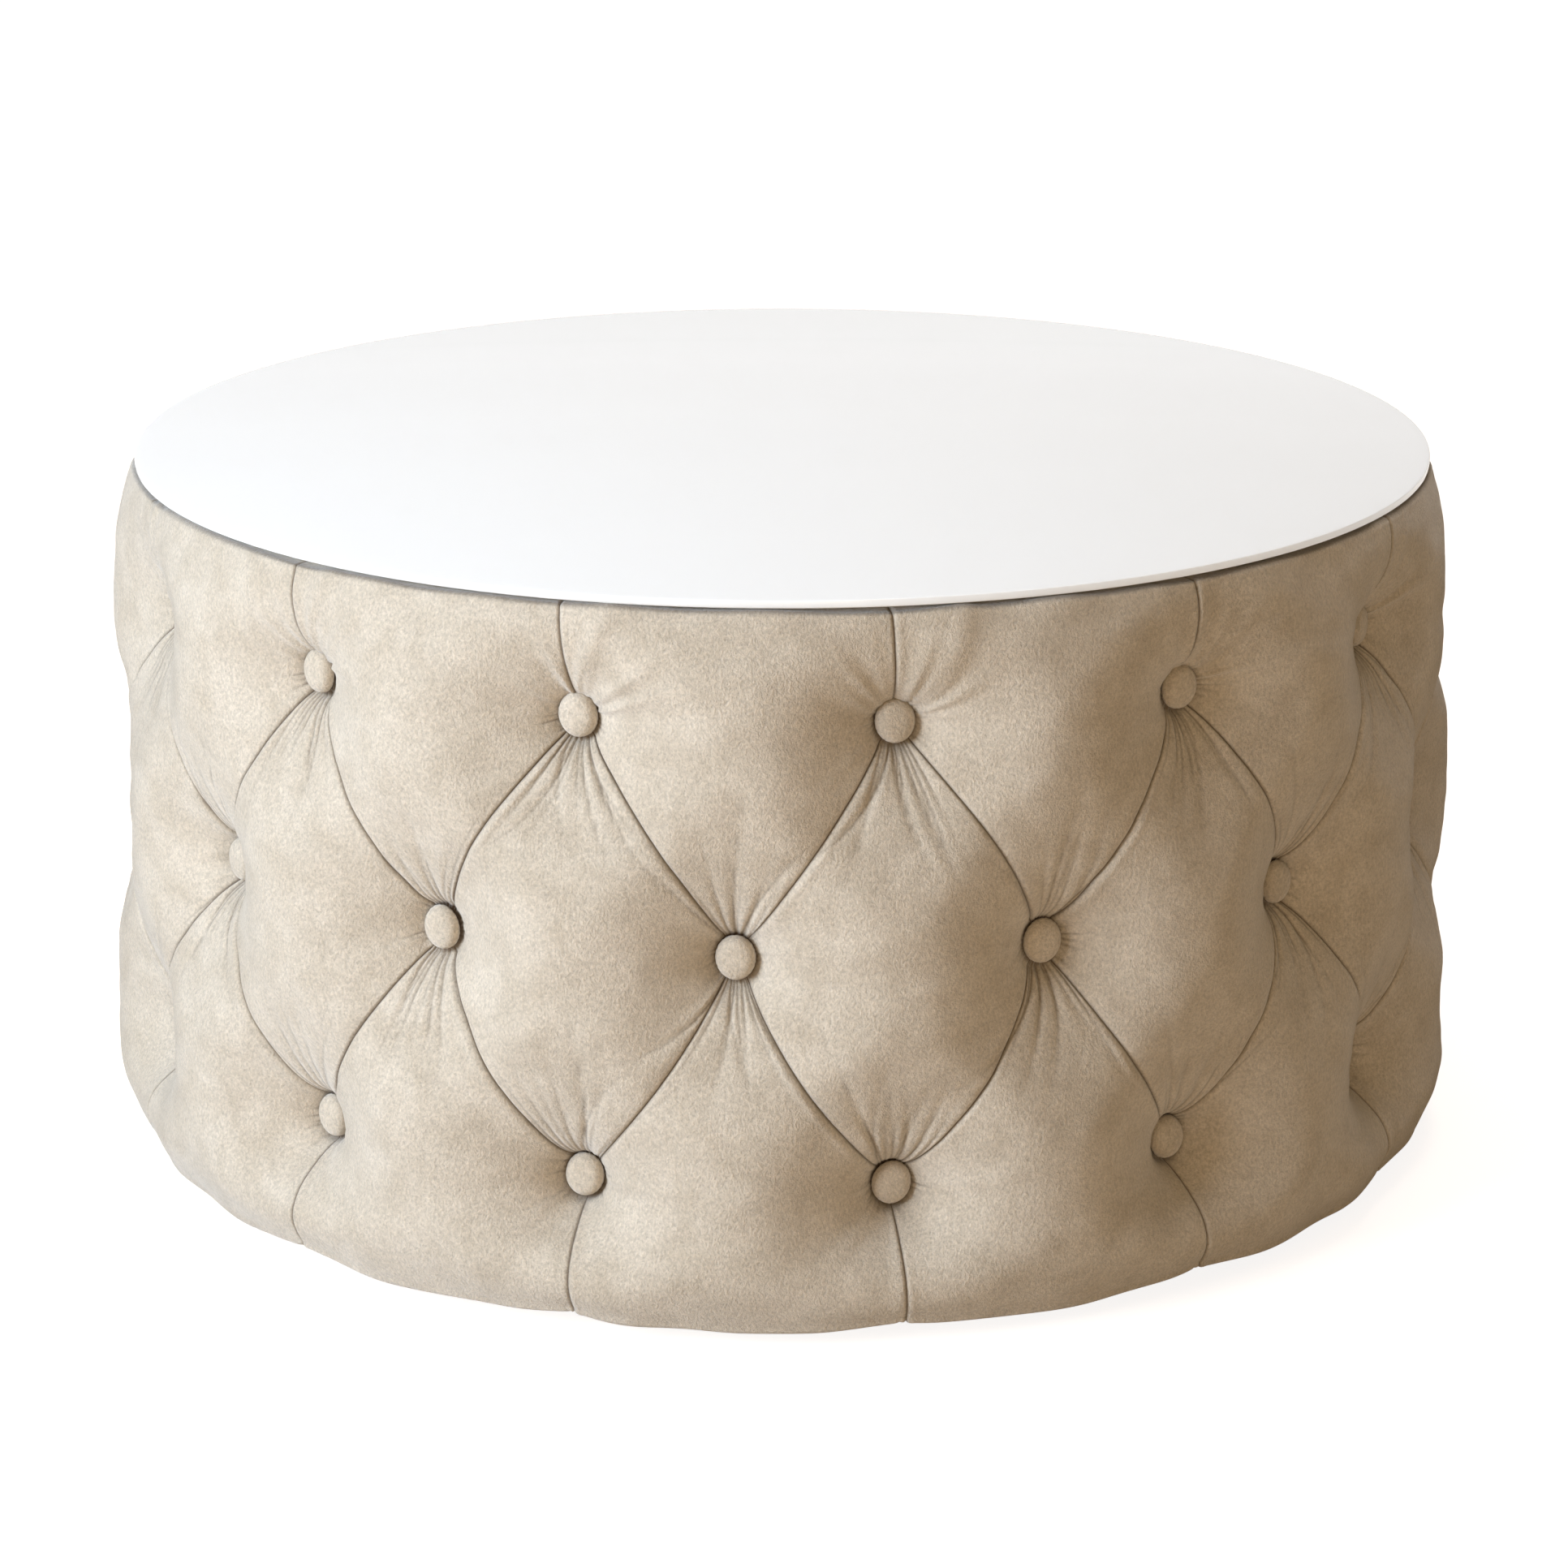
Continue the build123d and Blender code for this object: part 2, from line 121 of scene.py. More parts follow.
def blend_colours(tree, factor, dark, light):
    """The first colour where the factor is 0, and the second where it is 1."""
    inputs = {"Factor": factor, "A": dark, "B": light}
    return add(tree, "ShaderNodeMix", inputs, data_type="RGBA").outputs["Result"]


def mottled(name, dark, light, size, smooth, rough, metallic=0.0, relief=0.0001):
    """A material whose colour and roughness vary in blotches, with a fine relief."""
    material, tree, shader = new_material(name)
    shader.inputs["Metallic"].default_value = metallic
    spots = add(tree, "ShaderNodeGroup", {}, node_tree=mottle)
    spots.inputs["Size"].default_value = size
    mask = spots.outputs["Mask"]
    colour = blend_colours(tree, mask, dark, light)
    roughness = spread(tree, mask, 0, 1, smooth, rough)
    connect(tree, shader, colour, roughness, spots.outputs["Height"], relief)
    return material


def finish_node(node, material):
    """Gives a solid that comes from the CAD model its material."""
    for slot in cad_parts[node].material_slots:
        slot.material = material


black_plastic = mottled(
    "moulded black plastic", (0.012, 0.012, 0.013, 1), (0.03, 0.03, 0.031, 1), 0.004, 0.42, 0.6
)
zinc = mottled("zinc plate", (0.4, 0.4, 0.39, 1), (0.62, 0.62, 0.6, 1), 0.003, 0.28, 0.45, 1.0)
finish_node("feet", black_plastic)
finish_node("foot_screws", zinc)

# Base ring and top board: birch plywood, cut round and sanded. The ring carries the feet and the posts,
# the board closes the drum under the felt.


def drawn_out(tree, place, scale):
    """Coordinates that draw a pattern out along the axes whose scale is below 1."""
    return add(tree, "ShaderNodeMapping", {"Vector": place, "Scale": scale}).outputs["Vector"]


def build_wood_grain():
    """Node group: soft bands of grain that run along X, and short dark pores between them."""
    group = new_group("wood grain", ["Band width", "Pore width"], ["Bands", "Pores"])
    given = add(group, "NodeGroupInput")
    place = add(group, "ShaderNodeTexCoord").outputs["Object"]
    along_grain = drawn_out(group, place, (0.06, 1, 0.25))
    bands = noise(group, given.outputs["Band width"], along_grain, 4, 0.55, 0.6)
    bands = spread(group, bands, 0.33, 0.67)
    streaks = drawn_out(group, place, (0.12, 1, 1))
    pores = spread(group, noise(group, given.outputs["Pore width"], streaks, 2), 0.58, 0.68)
    add(group, "NodeGroupOutput", {"Bands": bands, "Pores": pores})
    return group


wood_grain = build_wood_grain()


def wooden(name, dark, light, band_width, pore_width, rough=0.6):
    """Bare wood: bands of grain between two shades, with darker and slightly sunken pores."""
    material, tree, shader = new_material(name)
    grain = add(tree, "ShaderNodeGroup", {}, node_tree=wood_grain)
    grain.inputs["Band width"].default_value = band_width
    grain.inputs["Pore width"].default_value = pore_width
    bands, pores = grain.outputs["Bands"], grain.outputs["Pores"]
    banded = blend_colours(tree, bands, dark, light)
    pore_colour = tuple(0.55 * x for x in dark[:3]) + (1,)
    colour = blend_colours(tree, spread(tree, pores, 0, 1, 0, 0.5), banded, pore_colour)
    connect(tree, shader, colour, spread(tree, bands, 0, 1, rough + 0.1, rough), pores, -0.0002)
    return material


plywood = wooden("birch plywood", (0.5, 0.34, 0.19, 1), (0.7, 0.52, 0.32, 1), 0.02, 0.0012)
finish_node("base_ring", plywood)
finish_node("top_board", plywood)

# Posts: seven planed softwood uprights between the ring and the board. Screws go into their ends
# through both, with the heads sunk flush.
pine = wooden("planed pine", (0.6, 0.38, 0.17, 1), (0.78, 0.58, 0.34, 1), 0.009, 0.0008, 0.5)
finish_node("posts", pine)
finish_node("frame_screws", zinc)

# Wall panel: a sheet of brown hardboard bent round the ring and the board, butted at one post and
# nailed to the wood all round.
hardboard = mottled(
    "hardboard", (0.2, 0.105, 0.05, 1), (0.33, 0.19, 0.1, 1), 0.0025, 0.45, 0.65, relief=0.00008
)
finish_node("wall_panel", hardboard)
finish_node("panel_nails", zinc)

# Velvet wall: one foam cushion that goes all round the drum, covered in cream velvet. Three rows of
# buttons draw it in, the slack is folded into pleats between them, and the velvet is turned in over
# the top board and hemmed under the base ring.
tuft_count = 14
pitch = 2 * pi / tuft_count
first_column = radians(-80.93)
crest_radius = 0.3970
seat_radius = 0.3676
seat_depth = crest_radius - seat_radius
hem_spread = 0.0138
hem_droop = 0.004
edge_roll = 0.004
turn_in_radius = 0.3326
panel_radius = 0.3598
cover_thickness = 0.002
button_rim = 0.0122
rim_slope = 0.0013
pit_depth = 0.0280
pit_reach = 0.088
pleat_depth = 0.0085
pleat_reach = 0.052
pleat_ease = 0.03
line_width = 0.0006

wall_low, wall_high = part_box("wall_cover")
hem_height = wall_low[2]
top_height = wall_high[2]


def row_height(node):
    """How high the middles of one row of buttons are."""
    low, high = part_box(node)
    return (low[2] + high[2]) / 2


upper_row = row_height("upper_buttons")
middle_row = row_height("middle_buttons")
lower_row = row_height("lower_buttons")
row_spacing = upper_row - middle_row

# The wall is measured along this radius, where its columns of buttons are this far apart
measure_radius = 0.392
column_spacing = pitch * measure_radius
half_spacing = column_spacing / 2


def wall_heights(count=312):
    """Heights up the wall, closer together beside each row of buttons, where the folds are fine."""
    fine = np.linspace(hem_height + edge_roll, top_height - edge_roll, 2001)
    crowding = np.ones_like(fine)
    crowded_height = 0.026
    for row in (upper_row, middle_row, lower_row):
        crowding += 2.0 * np.exp(-(((fine - row) / crowded_height) ** 2))
    share = np.cumsum(crowding)
    share = (share - share[0]) / (share[-1] - share[0])
    return np.interp(np.linspace(0, 1, count), share, fine)


def cushion_profile():
    """The undented outline, from the hem's edge up the wall to the edge that is turned in over the board:
    the radius and height of each point, and its place along the outline."""
    hem_corner, top_corner = 0.3988, 0.3872
    hem_bulge, top_bulge = 0.042, 0.06
    hem_curve, top_curve = 2.8, 2.1
    hem_inset = crest_radius + hem_spread - hem_corner
    top_inset = crest_radius - top_corner
    turned_rows = np.linspace(0, 1, 9)
    roll_turns = np.linspace(0, pi / 2, 6)
    points = []
    for share in turned_rows[:-1]:
        r = turn_in_radius + (hem_corner - edge_roll - turn_in_radius) * share
        points.append((r, hem_height, hem_height - (hem_corner - edge_roll - r)))
    for turn in roll_turns[:-1]:
        r = hem_corner - edge_roll + edge_roll * sin(turn)
        z = hem_height + edge_roll - edge_roll * cos(turn)
        points.append((r, z, z))
    for z in wall_heights():
        low = (top_height - z) / (top_height - hem_height)
        fall = max(0, 1 - (z - hem_height - edge_roll) / hem_bulge)
        rise = max(0, 1 - (top_height - edge_roll - z) / top_bulge)
        full = crest_radius + hem_spread * low
        r = full - hem_inset * fall**hem_curve - top_inset * rise**top_curve
        points.append((r, z, z))
    for turn in roll_turns[1:]:
        r = top_corner - edge_roll + edge_roll * cos(turn)
        z = top_height - edge_roll + edge_roll * sin(turn)
        points.append((r, z, z))
    for share in turned_rows[1:]:
        r = top_corner - edge_roll + (turn_in_radius - top_corner + edge_roll) * share
        points.append((r, top_height, top_height + (top_corner - edge_roll - r)))
    return np.array(points)


def lay_out_pleats():
    """Each column's six pleats: how far four of them bow outwards, on the left and right above and then
    below, and how far the two that run to the glass and to the hem lean. No two columns are the same, and
    the four in front are as they are in the real drum."""
    rng = np.random.default_rng(3)
    usual = (0.0035, 0.0035, 0.003, 0.003, 0, 0.003)
    variation = (0.002, 0.002, 0.0025, 0.0025, 0.003, 0.003)
    in_front = {
        12: (-0.001, 0.0015, 0.001, -0.0005, 0, 0.003),
        13: (0.006, 0.0065, 0.001, 0.0055, -0.0056, 0.0035),
        0: (0.001, 0.007, 0.0055, 0.003, -0.007, 0.005),
        1: (0.0035, 0.0035, 0.002, -0.001, -0.006, 0.005),
    }
    pleats = []
    for column in range(tuft_count):
        shape = rng.normal(usual, variation)
        left_up, right_up, left_down, right_down, lean_up, lean_down = in_front.get(column, shape)
        bows = {(upper_row, -1): -left_up, (upper_row, 1): right_up}
        bows.update({(lower_row, -1): -left_down, (lower_row, 1): right_down})
        pleats.append((bows, {upper_row: lean_up, lower_row: lean_down}))
    return pleats


pleat_bows = lay_out_pleats()
run_on = 0.03
band_ends = {upper_row: top_height + run_on, lower_row: hem_height - run_on}


def pleat_line(column, side, place):
    """Where the pleat on one side of a column lies at a given height, measured along the wall."""
    bows, leans = pleat_bows[column % tuft_count]
    start = column * column_spacing
    for row, beyond in ((upper_row, place >= upper_row), (lower_row, place <= lower_row)):
        if beyond:
            return start + leans[row] * (place - row) / (band_ends[row] - row)
    row = upper_row if place > middle_row else lower_row
    share = (place - row) / (middle_row - row)
    return start + side * half_spacing * share + bows[row, side] * sin(pi * share)


def wall_grid(profile, columns=56):
    """Places along the wall whose lines follow the pleats and crowd beside every pleat."""
    crowding = 0.88
    even = np.linspace(0, 1, columns + 1)[:-1]
    crowded = (1 - crowding) * even + crowding * (1 - np.cos(pi * even)) / 2
    rows = []
    for place in profile[:, 2]:
        lines = []
        for column in range(tuft_count + 1):
            lines += [pleat_line(column, -1, place), pleat_line(column, 1, place)]
        rows.append(np.concatenate([a + (b - a) * crowded for a, b in zip(lines[:-2], lines[1:-1])]))
    return np.array(rows)


def from_column(along, column, shift):
    """How far along the wall each point lies from one column of buttons."""
    around = tuft_count * column_spacing
    return (along - shift - column * column_spacing + around / 2) % around - around / 2


def bowl(away, reach):
    """A smooth hollow, 1 in its middle and 0 from its reach on."""
    return 0.5 + 0.5 * np.cos(pi * np.clip(away / reach, 0, 1))


def pleat(away, below, near, depth, fold, rng):
    """One pleat's share of the drawing in, its crease, which deepens it and marks painted shade along
    it, and the roll of the fold on its lower side. It is given the distance to the pleat, the side below
    it and the distance along it to the nearest button."""
    offset = rng.uniform(0.85, 1.15) * (0.0018 + 0.0016 * fold)
    strength = fold * rng.uniform(0.7, 1.2)
    groove_width, groove_share = 0.0042, 0.3
    button_pull, pull_reach = 0.004, 0.016
    deepened = depth + button_pull * np.exp(-np.maximum(near - button_rim, 0) / pull_reach)
    groove = groove_share * np.exp(-away / groove_width)
    drawn = deepened * (groove + (1 - groove_share) * bowl(away, pleat_reach))
    # The crease line deepens the pleat slightly and is also painted shade along it.
    crease_and_painted_shade = (0.88 + 0.35 * np.exp(-near / pleat_ease)) * np.exp(-((away / line_width) ** 1.5))
    roll = np.exp(-(((away - offset) / (0.55 * offset + 0.0003)) ** 2))
    fades_in = np.clip((near - 0.008) / pleat_ease, 0, 1)
    return drawn, crease_and_painted_shade, strength * fades_in * below * roll


def tufting(along, place):
    """How far the velvet is drawn in, how its creases and the rings round its buttons are deepened and
    marked with painted shade, and how high its folds, at each point.
    """
    sharpness = 2.2
    slant = row_spacing / sqrt(row_spacing**2 + half_spacing**2)
    column_reach = 0.85 * column_spacing
    upright_depth, upright_pull = 0.0005, 0.0055
    drawn = np.zeros_like(place)
    crease_and_painted_shade = np.zeros_like(place)
    roll = np.zeros_like(place)
    for column in range(tuft_count):
        rng = np.random.default_rng(column)
        across = from_column(along, column, 0)
        near_column = np.abs(across) < column_reach
        x, z = across[near_column], place[near_column]
        bows, leans = pleat_bows[column]
        parts = []
        for row in (upper_row, lower_row):
            run = (z - row) / (middle_row - row)
            share = np.clip(run, 0, 1)
            for side, fold in ((-1, 1), (1, 0.4)):
                line = side * half_spacing * share + bows[row, side] * np.sin(pi * share)
                past = (np.abs(run - share)) * row_spacing
                away = np.hypot((x - line) * slant, past)
                near = np.minimum(share, 1 - share) * row_spacing / slant
                below = side * (line - x) * (row - middle_row) > 0
                parts.append(pleat(away, below, near, pleat_depth, fold, rng))
            beyond = np.maximum((z - row) / (band_ends[row] - row), 0)
            line = leans[row] * beyond
            past = np.maximum((z - row) * np.sign(middle_row - row), 0)
            near = beyond * abs(band_ends[row] - row)
            depth = upright_depth + upright_pull * np.exp(-near / pleat_ease)
            parts.append(pleat(np.hypot(x - line, past), x > line, near, depth, 0.5, rng))
        for part_drawn, part_crease_and_shade, part_roll in parts:
            drawn[near_column] += np.maximum(part_drawn, 0) ** sharpness
            crease_and_painted_shade[near_column] = np.maximum(crease_and_painted_shade[near_column], part_crease_and_shade)
            roll[near_column] += part_roll
    past_rows = (place > upper_row) | (place < lower_row)
    pit_shape = np.where(past_rows, 1.35, 0.8)
    button_shape = 0.87
    wide_share, narrow_reach = 0.72, 0.0075
    ring_start, ring_width = 0.0112, 0.0013
    for shift, row in ((0, upper_row), (half_spacing, middle_row), (0, lower_row)):
        across = (along - shift + half_spacing) % column_spacing - half_spacing
        rise = np.abs(place - row)
        away = np.hypot(across, rise * button_shape)
        wide = bowl(np.hypot(across, rise * pit_shape), pit_reach)
        narrow = np.exp(-np.maximum(away - button_rim, 0) / narrow_reach)
        inside = np.clip((button_rim - away) / rim_slope, 0, 1)
        pit = pit_depth * (wide_share * wide + (1 - wide_share) * narrow)
        drawn += (pit + (seat_depth - pit_depth) * inside) ** sharpness
        # A ring of painted shade round each button, stronger on its upper side, which also sinks the
        # velvet a little.
        shaded = 1.05 + 0.25 * np.clip((place - row) / 0.01, -1, 1)
        ring = np.maximum(away - ring_start, 0)
        crease_and_painted_shade = np.maximum(crease_and_painted_shade, shaded * np.exp(-((ring / ring_width) ** 2)))
    return np.minimum(drawn ** (1 / sharpness), seat_depth), crease_and_painted_shade, roll


def gathers(along, place):
    """The fine folds that fan out from each button: how high they stand, and lines of painted shade
    along their valleys. A fan has its middle and half its spread in degrees, counted from straight down,
    its number of folds, the shortest and the longest of them, and how high they stand, which is below 0
    for a valley."""
    folds = np.zeros_like(place)
    lines = np.zeros_like(place)
    fan_reach = 0.11
    fold_start = 0.0105
    widest_spacing = 0.32
    all_round = (0, 180, 30, 0.011, 0.020, -0.0007)
    below = (0, 32, 8, 0.042, 0.078, -0.0012)
    above = (180, 36, 8, 0.045, 0.080, -0.0012)
    wrinkles = ((205, 48, 4, 0.036, 0.056, 0.0020), (136, 30, 4, 0.044, 0.070, 0.0025))
    long_and_faint = (0, 180, 7, 0.05, 0.085, 0.0007)
    rows = (
        (0, upper_row, (all_round, below, long_and_faint) + wrinkles),
        (half_spacing, middle_row, (all_round, below, above, long_and_faint)),
        (0, lower_row, (all_round, above, long_and_faint)),
    )
    for number, (shift, row, fans) in enumerate(rows):
        for column in range(tuft_count):
            rng = np.random.default_rng(100 * number + column)
            across = from_column(along, column, shift)
            near = np.hypot(across, place - row) < fan_reach
            distance = np.hypot(across[near], place[near] - row)
            heading = np.arctan2(across[near], row - place[near])
            out = np.maximum(distance - button_rim, 0)
            for middle, spread_out, number_of_folds, shortest, longest, height in fans:
                spacing = 2 * radians(spread_out) / number_of_folds
                for fold in range(number_of_folds):
                    share = 2 * (fold + 0.5) / number_of_folds - 1
                    angle = radians(middle) + radians(spread_out) * share
                    angle += rng.normal(0, 0.2) * spacing
                    width = min(spacing, widest_spacing) * rng.uniform(0.24, 0.4)
                    turn = (heading - angle - rng.normal(0, 2.5) * out + pi) % (2 * pi) - pi
                    length = rng.uniform(shortest, longest) - button_rim
                    start = np.clip((distance - fold_start) / 0.002, 0, 1)
                    fade = start * np.exp(-((out / length) ** 2)) * rng.uniform(0.5, 1.3)
                    folds[near] += height * fade * np.exp(-((turn / width) ** 2))
                    # Each valley also gets a thin line of painted shade.
                    if height < 0:
                        line = 0.65 * fade * np.exp(-((turn * distance / line_width) ** 2))
                        lines[near] = np.maximum(lines[near], line)
    return folds, lines


def slow_waves(along, place, length, seed):
    """A gentle unevenness that closes on itself round the drum, with waves of about the given length."""
    rng = np.random.default_rng(seed)
    total = np.zeros_like(place)
    around = tuft_count * column_spacing
    for _ in range(16):
        turns = round(rng.normal(0, around / length))
        rise = rng.normal(0, 2 * pi / length)
        total += np.sin(turns * along / around * 2 * pi + rise * place + rng.uniform(0, 2 * pi))
    return total / 4


def lay_velvet(profile, along):
    """The velvet's radius and height at each point of the grid, and the painted shade in its creases,
    round its buttons, along its fold valleys and under the edge of the glass.
    """
    place = np.repeat(profile[:, 2:3], along.shape[1], axis=1)
    drawn, crease_and_painted_shade, roll = tufting(along, place)
    folds, lines = gathers(along, place)
    fuller = hem_spread * np.clip((top_height - place) / (top_height - hem_height), 0, 1)
    crease_depth, roll_rise, painted_rim_shadow_width = 0.0012, 0.0007, 0.0012
    inward = drawn + fuller * (drawn / seat_depth) ** 2 + crease_depth * crease_and_painted_shade - roll_rise * roll - folds
    broad_waves = 0.0009 * slow_waves(along, place, length=0.13, seed=5)
    inward -= broad_waves + 0.00035 * slow_waves(along, place, length=0.045, seed=9)
    # A thin line of painted shadow along the top rim, under the edge of the glass.
    painted_rim_shadow = 0.8 * np.exp(-(((place - top_height) / painted_rim_shadow_width) ** 2))
    crease_and_painted_shade = np.maximum(np.maximum(crease_and_painted_shade, lines), painted_rim_shadow)
    turned = np.maximum(hem_height - place, place - top_height)
    tuft_fade, tuck_fade = 0.018, 0.012
    inward *= np.clip(1 - turned / tuft_fade, 0, 1)
    slope = np.gradient(profile[:, :2], axis=0)
    normal = np.stack([slope[:, 1], -slope[:, 0]], axis=1)
    normal /= np.linalg.norm(normal, axis=1)[:, None]
    radius = profile[:, 0:1] - normal[:, 0:1] * inward
    height = profile[:, 1:2] - normal[:, 1:2] * inward
    fullness = np.sin(pi * ((along / column_spacing) % 1)) ** 0.5
    height -= hem_droop * fullness * np.exp(-(((place - hem_height) / 0.012) ** 2))
    tucks = np.maximum(slow_waves(along, np.zeros_like(place), length=0.022, seed=21), 0)
    sign = np.where(place > middle_row, 1, -1)
    height -= 0.0007 * sign * tucks * np.clip(turned / tuck_fade, 0, 1)
    return radius, height, crease_and_painted_shade


def build_velvet_wall():
    """The closed skin of the wall: the velvet in front, and its plain back against the panel."""
    profile = cushion_profile()
    along = wall_grid(profile)
    radius, height, crease_and_painted_shade = lay_velvet(profile, along)
    under_board = top_height - cover_thickness
    over_ring = hem_height + cover_thickness
    back = [
        (turn_in_radius, under_board),
        (panel_radius, under_board),
        (panel_radius, over_ring),
        (turn_in_radius, over_ring),
    ]
    rows = [np.stack([radius, height], axis=2)]
    rows += [np.full((1, along.shape[1], 2), corner) for corner in back]
    radius, height = np.moveaxis(np.concatenate(rows), 2, 0)
    angles = along / measure_radius
    angles = np.concatenate([angles] + [angles[-1:]] * len(back)) + first_column
    points = np.stack([radius * np.cos(angles), radius * np.sin(angles), height], axis=2)
    count, columns = angles.shape
    corner = np.arange(count)[:, None] * columns + np.arange(columns)
    beside = np.roll(corner, -1, axis=1)
    above, above_beside = np.roll(corner, -1, axis=0), np.roll(beside, -1, axis=0)
    faces = np.stack([corner, beside, above_beside, above], axis=2)
    mesh = bpy.data.meshes.new("velvet_wall")
    mesh.from_pydata(points.reshape(-1, 3).tolist(), [], faces.reshape(-1, 4).tolist())
    # The crease mask is stored on the mesh and read by the velvet as painted shade.
    painted_shade_map = np.zeros((count, columns))
    painted_shade_map[: len(profile)] = crease_and_painted_shade
    dark = mesh.attributes.new("crease_and_painted_shade", "FLOAT", "POINT")
    dark.data.foreach_set("value", painted_shade_map.ravel().astype(np.float32))
    welded = bmesh.new()
    welded.from_mesh(mesh)
    bmesh.ops.remove_doubles(welded, verts=welded.verts, dist=0.00001)
    bmesh.ops.recalc_face_normals(welded, faces=welded.faces)
    welded.to_mesh(mesh)
    welded.free()
    mesh.shade_smooth()
    wall = bpy.data.objects.new("velvet_wall", mesh)
    bpy.context.collection.objects.link(wall)
    return wall


def build_brushed_pile():
    """Node group: the short pile of a brushed cloth, as soft patches, a grain and the grain's relief."""
    group = new_group("brushed pile", ["Patch size", "Grain size"], ["Patches", "Grain"])
    given = add(group, "NodeGroupInput")
    place = add(group, "ShaderNodeTexCoord").outputs["Object"]
    patches = spread(group, noise(group, given.outputs["Patch size"], place, 3, 0.6, 0.4), 0.3, 0.7)
    grain = noise(group, given.outputs["Grain size"], drawn_out(group, place, (1, 1, 0.8)), 3, 0.8)
    add(group, "NodeGroupOutput", {"Patches": patches, "Grain": grain})
    return group


brushed_pile = build_brushed_pile()


def velvet_material():
    """Brushed pile in two close shades, speckled by its grain, with painted shade in its creases, round
    its buttons, along its fold valleys and under the glass's edge.
    """
    light_pile = (0.668, 0.583, 0.48, 1)
    dark_pile = (0.558, 0.474, 0.373, 1)
    # The near-black brown of the painted shade in creases, fold valleys, button rings and under the
    # glass.
    painted_shade_colour = (0.075, 0.043, 0.022, 1)
    material, tree, shader = new_material("velvet")
    shader.inputs["Roughness"].default_value = 0.9
    shader.inputs["Specular IOR Level"].default_value = 0
    shader.inputs["Sheen Weight"].default_value = 0.62
    shader.inputs["Sheen Roughness"].default_value = 0.5
    shader.inputs["Sheen Tint"].default_value = (1, 1, 1, 1)
    pile = add(tree, "ShaderNodeGroup", {}, node_tree=brushed_pile)
    pile.inputs["Patch size"].default_value = 0.024
    pile.inputs["Grain size"].default_value = 0.0016
    shades = blend_colours(tree, pile.outputs["Patches"], dark_pile, light_pile)
    speckle = spread(tree, pile.outputs["Grain"], 0.3, 0.7, 0.74, 1.23)
    inputs = {"Factor": 1, "A": shades, "B": speckle}
    speckled = add(tree, "ShaderNodeMix", inputs, data_type="RGBA", blend_type="MULTIPLY")
    # The crease mask darkens the pile towards that brown: painted shade.
    crease_and_painted_shade = add(tree, "ShaderNodeAttribute", {}, attribute_name="crease_and_painted_shade").outputs["Fac"]
    painted_shade_amount = spread(tree, crease_and_painted_shade, 0, 1.1, 0, 0.95)
    colour = blend_colours(tree, painted_shade_amount, speckled.outputs["Result"], painted_shade_colour)
    connect(tree, shader, colour, None, pile.outputs["Grain"], 0.0018)
    return material


velvet = velvet_material()
velvet_wall = build_velvet_wall()
velvet_wall.data.materials.append(velvet)
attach(velvet_wall, "base")
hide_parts("wall_cover", "wall_foam")

# Covered buttons: a domed metal shell under a skin of the same velvet, which is drawn round its edge
# and gathered behind it. Each sits deep in its pit, pulled in by twine.
button_half_width = 0.0107
button_half_height = 0.0123
button_rise = 0.0068
button_size = (button_half_width, button_half_height, button_rise)
button_back_radius = 0.3688


def model_button():
    """A ball whose back half is flattened, with a low dome in front and small gathers round its edge."""
    gather_count, gather_start, gather_depth = 23, 0.86, 0.012
    flat_share = 0.78
    bpy.ops.object.select_all(action="DESELECT")
    bpy.ops.mesh.primitive_uv_sphere_add(segments=56, ring_count=28, radius=1)
    button = bpy.context.object
    bpy.ops.object.mode_set(mode="EDIT")
    bpy.ops.mesh.select_all(action="DESELECT")
    shape = bmesh.from_edit_mesh(button.data)
    for vert in shape.verts:
        vert.select = vert.co.z < -0.01
    bmesh.update_edit_mesh(button.data)
    bpy.ops.transform.resize(value=(0.93, 0.93, 0.25), center_override=(0, 0, 0))
    bpy.ops.mesh.select_all(action="SELECT")
    bpy.ops.transform.resize(value=button_size, center_override=(0, 0, 0))
    bpy.ops.object.mode_set(mode="OBJECT")
    for vert in button.data.vertices:
        x, y, z = vert.co.x / button_half_width, vert.co.y / button_half_height, vert.co.z
        out = min(1, sqrt(x * x + y * y))
        if z > 0:
            dome = flat_share * (1 - out**6) ** 0.5 + (1 - flat_share) * (1 - out**2)
            vert.co.z = button_rise * dome
        edge = max(0, out - gather_start) / (1 - gather_start)
        gather = 1 + gather_depth * sin(gather_count * np.arctan2(y, x)) * edge
        vert.co.x *= gather
        vert.co.y *= gather
    button.data.shade_smooth()
    return button


def button_row(name, node, height, shift):
    """One row of covered buttons, each a little tilted in its pit, joined into one piece."""
    button = model_button()
    outward = Matrix(((0, 0, 1, 0), (1, 0, 0, 0), (0, 1, 0, 0), (0, 0, 0, 1)))
    seat = Matrix.Translation((button_back_radius, 0, height))
    copies = []
    for column in range(tuft_count):
        rng = np.random.default_rng(int(height * 1000) + column)
        angle = first_column + shift + column * pitch
        mesh = button.data.copy()
        turns = (rng.normal(0, 0.03), rng.normal(0, 0.04), rng.uniform(-0.2, 0.2))
        tilt = Euler(turns).to_matrix().to_4x4()
        mesh.transform(Matrix.Rotation(angle, 4, "Z") @ seat @ outward @ tilt)
        copy = bpy.data.objects.new(f"{name}_{column}", mesh)
        bpy.context.collection.objects.link(copy)
        copies.append(copy)
    bpy.data.objects.remove(button)
    bpy.ops.object.select_all(action="DESELECT")
    for copy in copies:
        copy.select_set(True)
    bpy.context.view_layer.objects.active = copies[0]
    bpy.ops.object.join()
    row = bpy.context.object
    row.name = name
    row.data.name = name
    row.data.materials.append(velvet)
    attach(row, "base")
    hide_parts(node)


